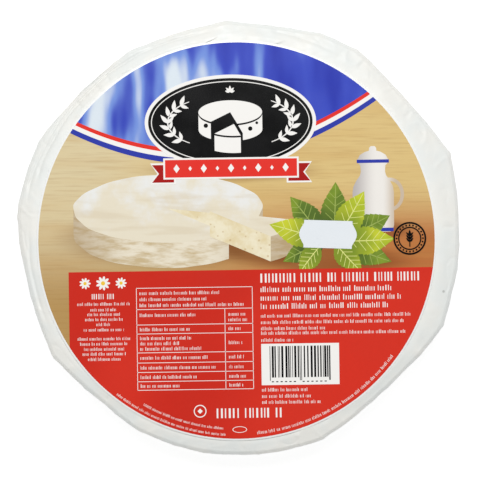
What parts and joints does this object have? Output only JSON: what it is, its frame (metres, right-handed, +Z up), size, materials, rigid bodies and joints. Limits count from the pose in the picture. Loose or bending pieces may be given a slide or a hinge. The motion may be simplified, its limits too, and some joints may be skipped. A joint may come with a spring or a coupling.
{
  "type": "wrapped goat brie wheel",
  "caption": "Shut round wheel of goat brie in folded white paper, flat on its foot, with a round printed label and a small blank price sticker on its top.",
  "frame": {"origin": "centre of the wheel's box, on the surface that it rests on", "axes": "+Z up through the label; +Y towards the head of the label; +X to the label's right"},
  "size_m": [0.2024, 0.1982, 0.0348],
  "materials": {
    "wrapping_paper": "satin coated white paper",
    "printed_label": "printed, satin varnish",
    "sticker_paper": "plain white, satin"
  },
  "bodies": {
    "root": {"wrapped_wheel": "wrapping_paper", "label": "printed_label", "price_sticker": "sticker_paper"}
  },
  "joints": []
}
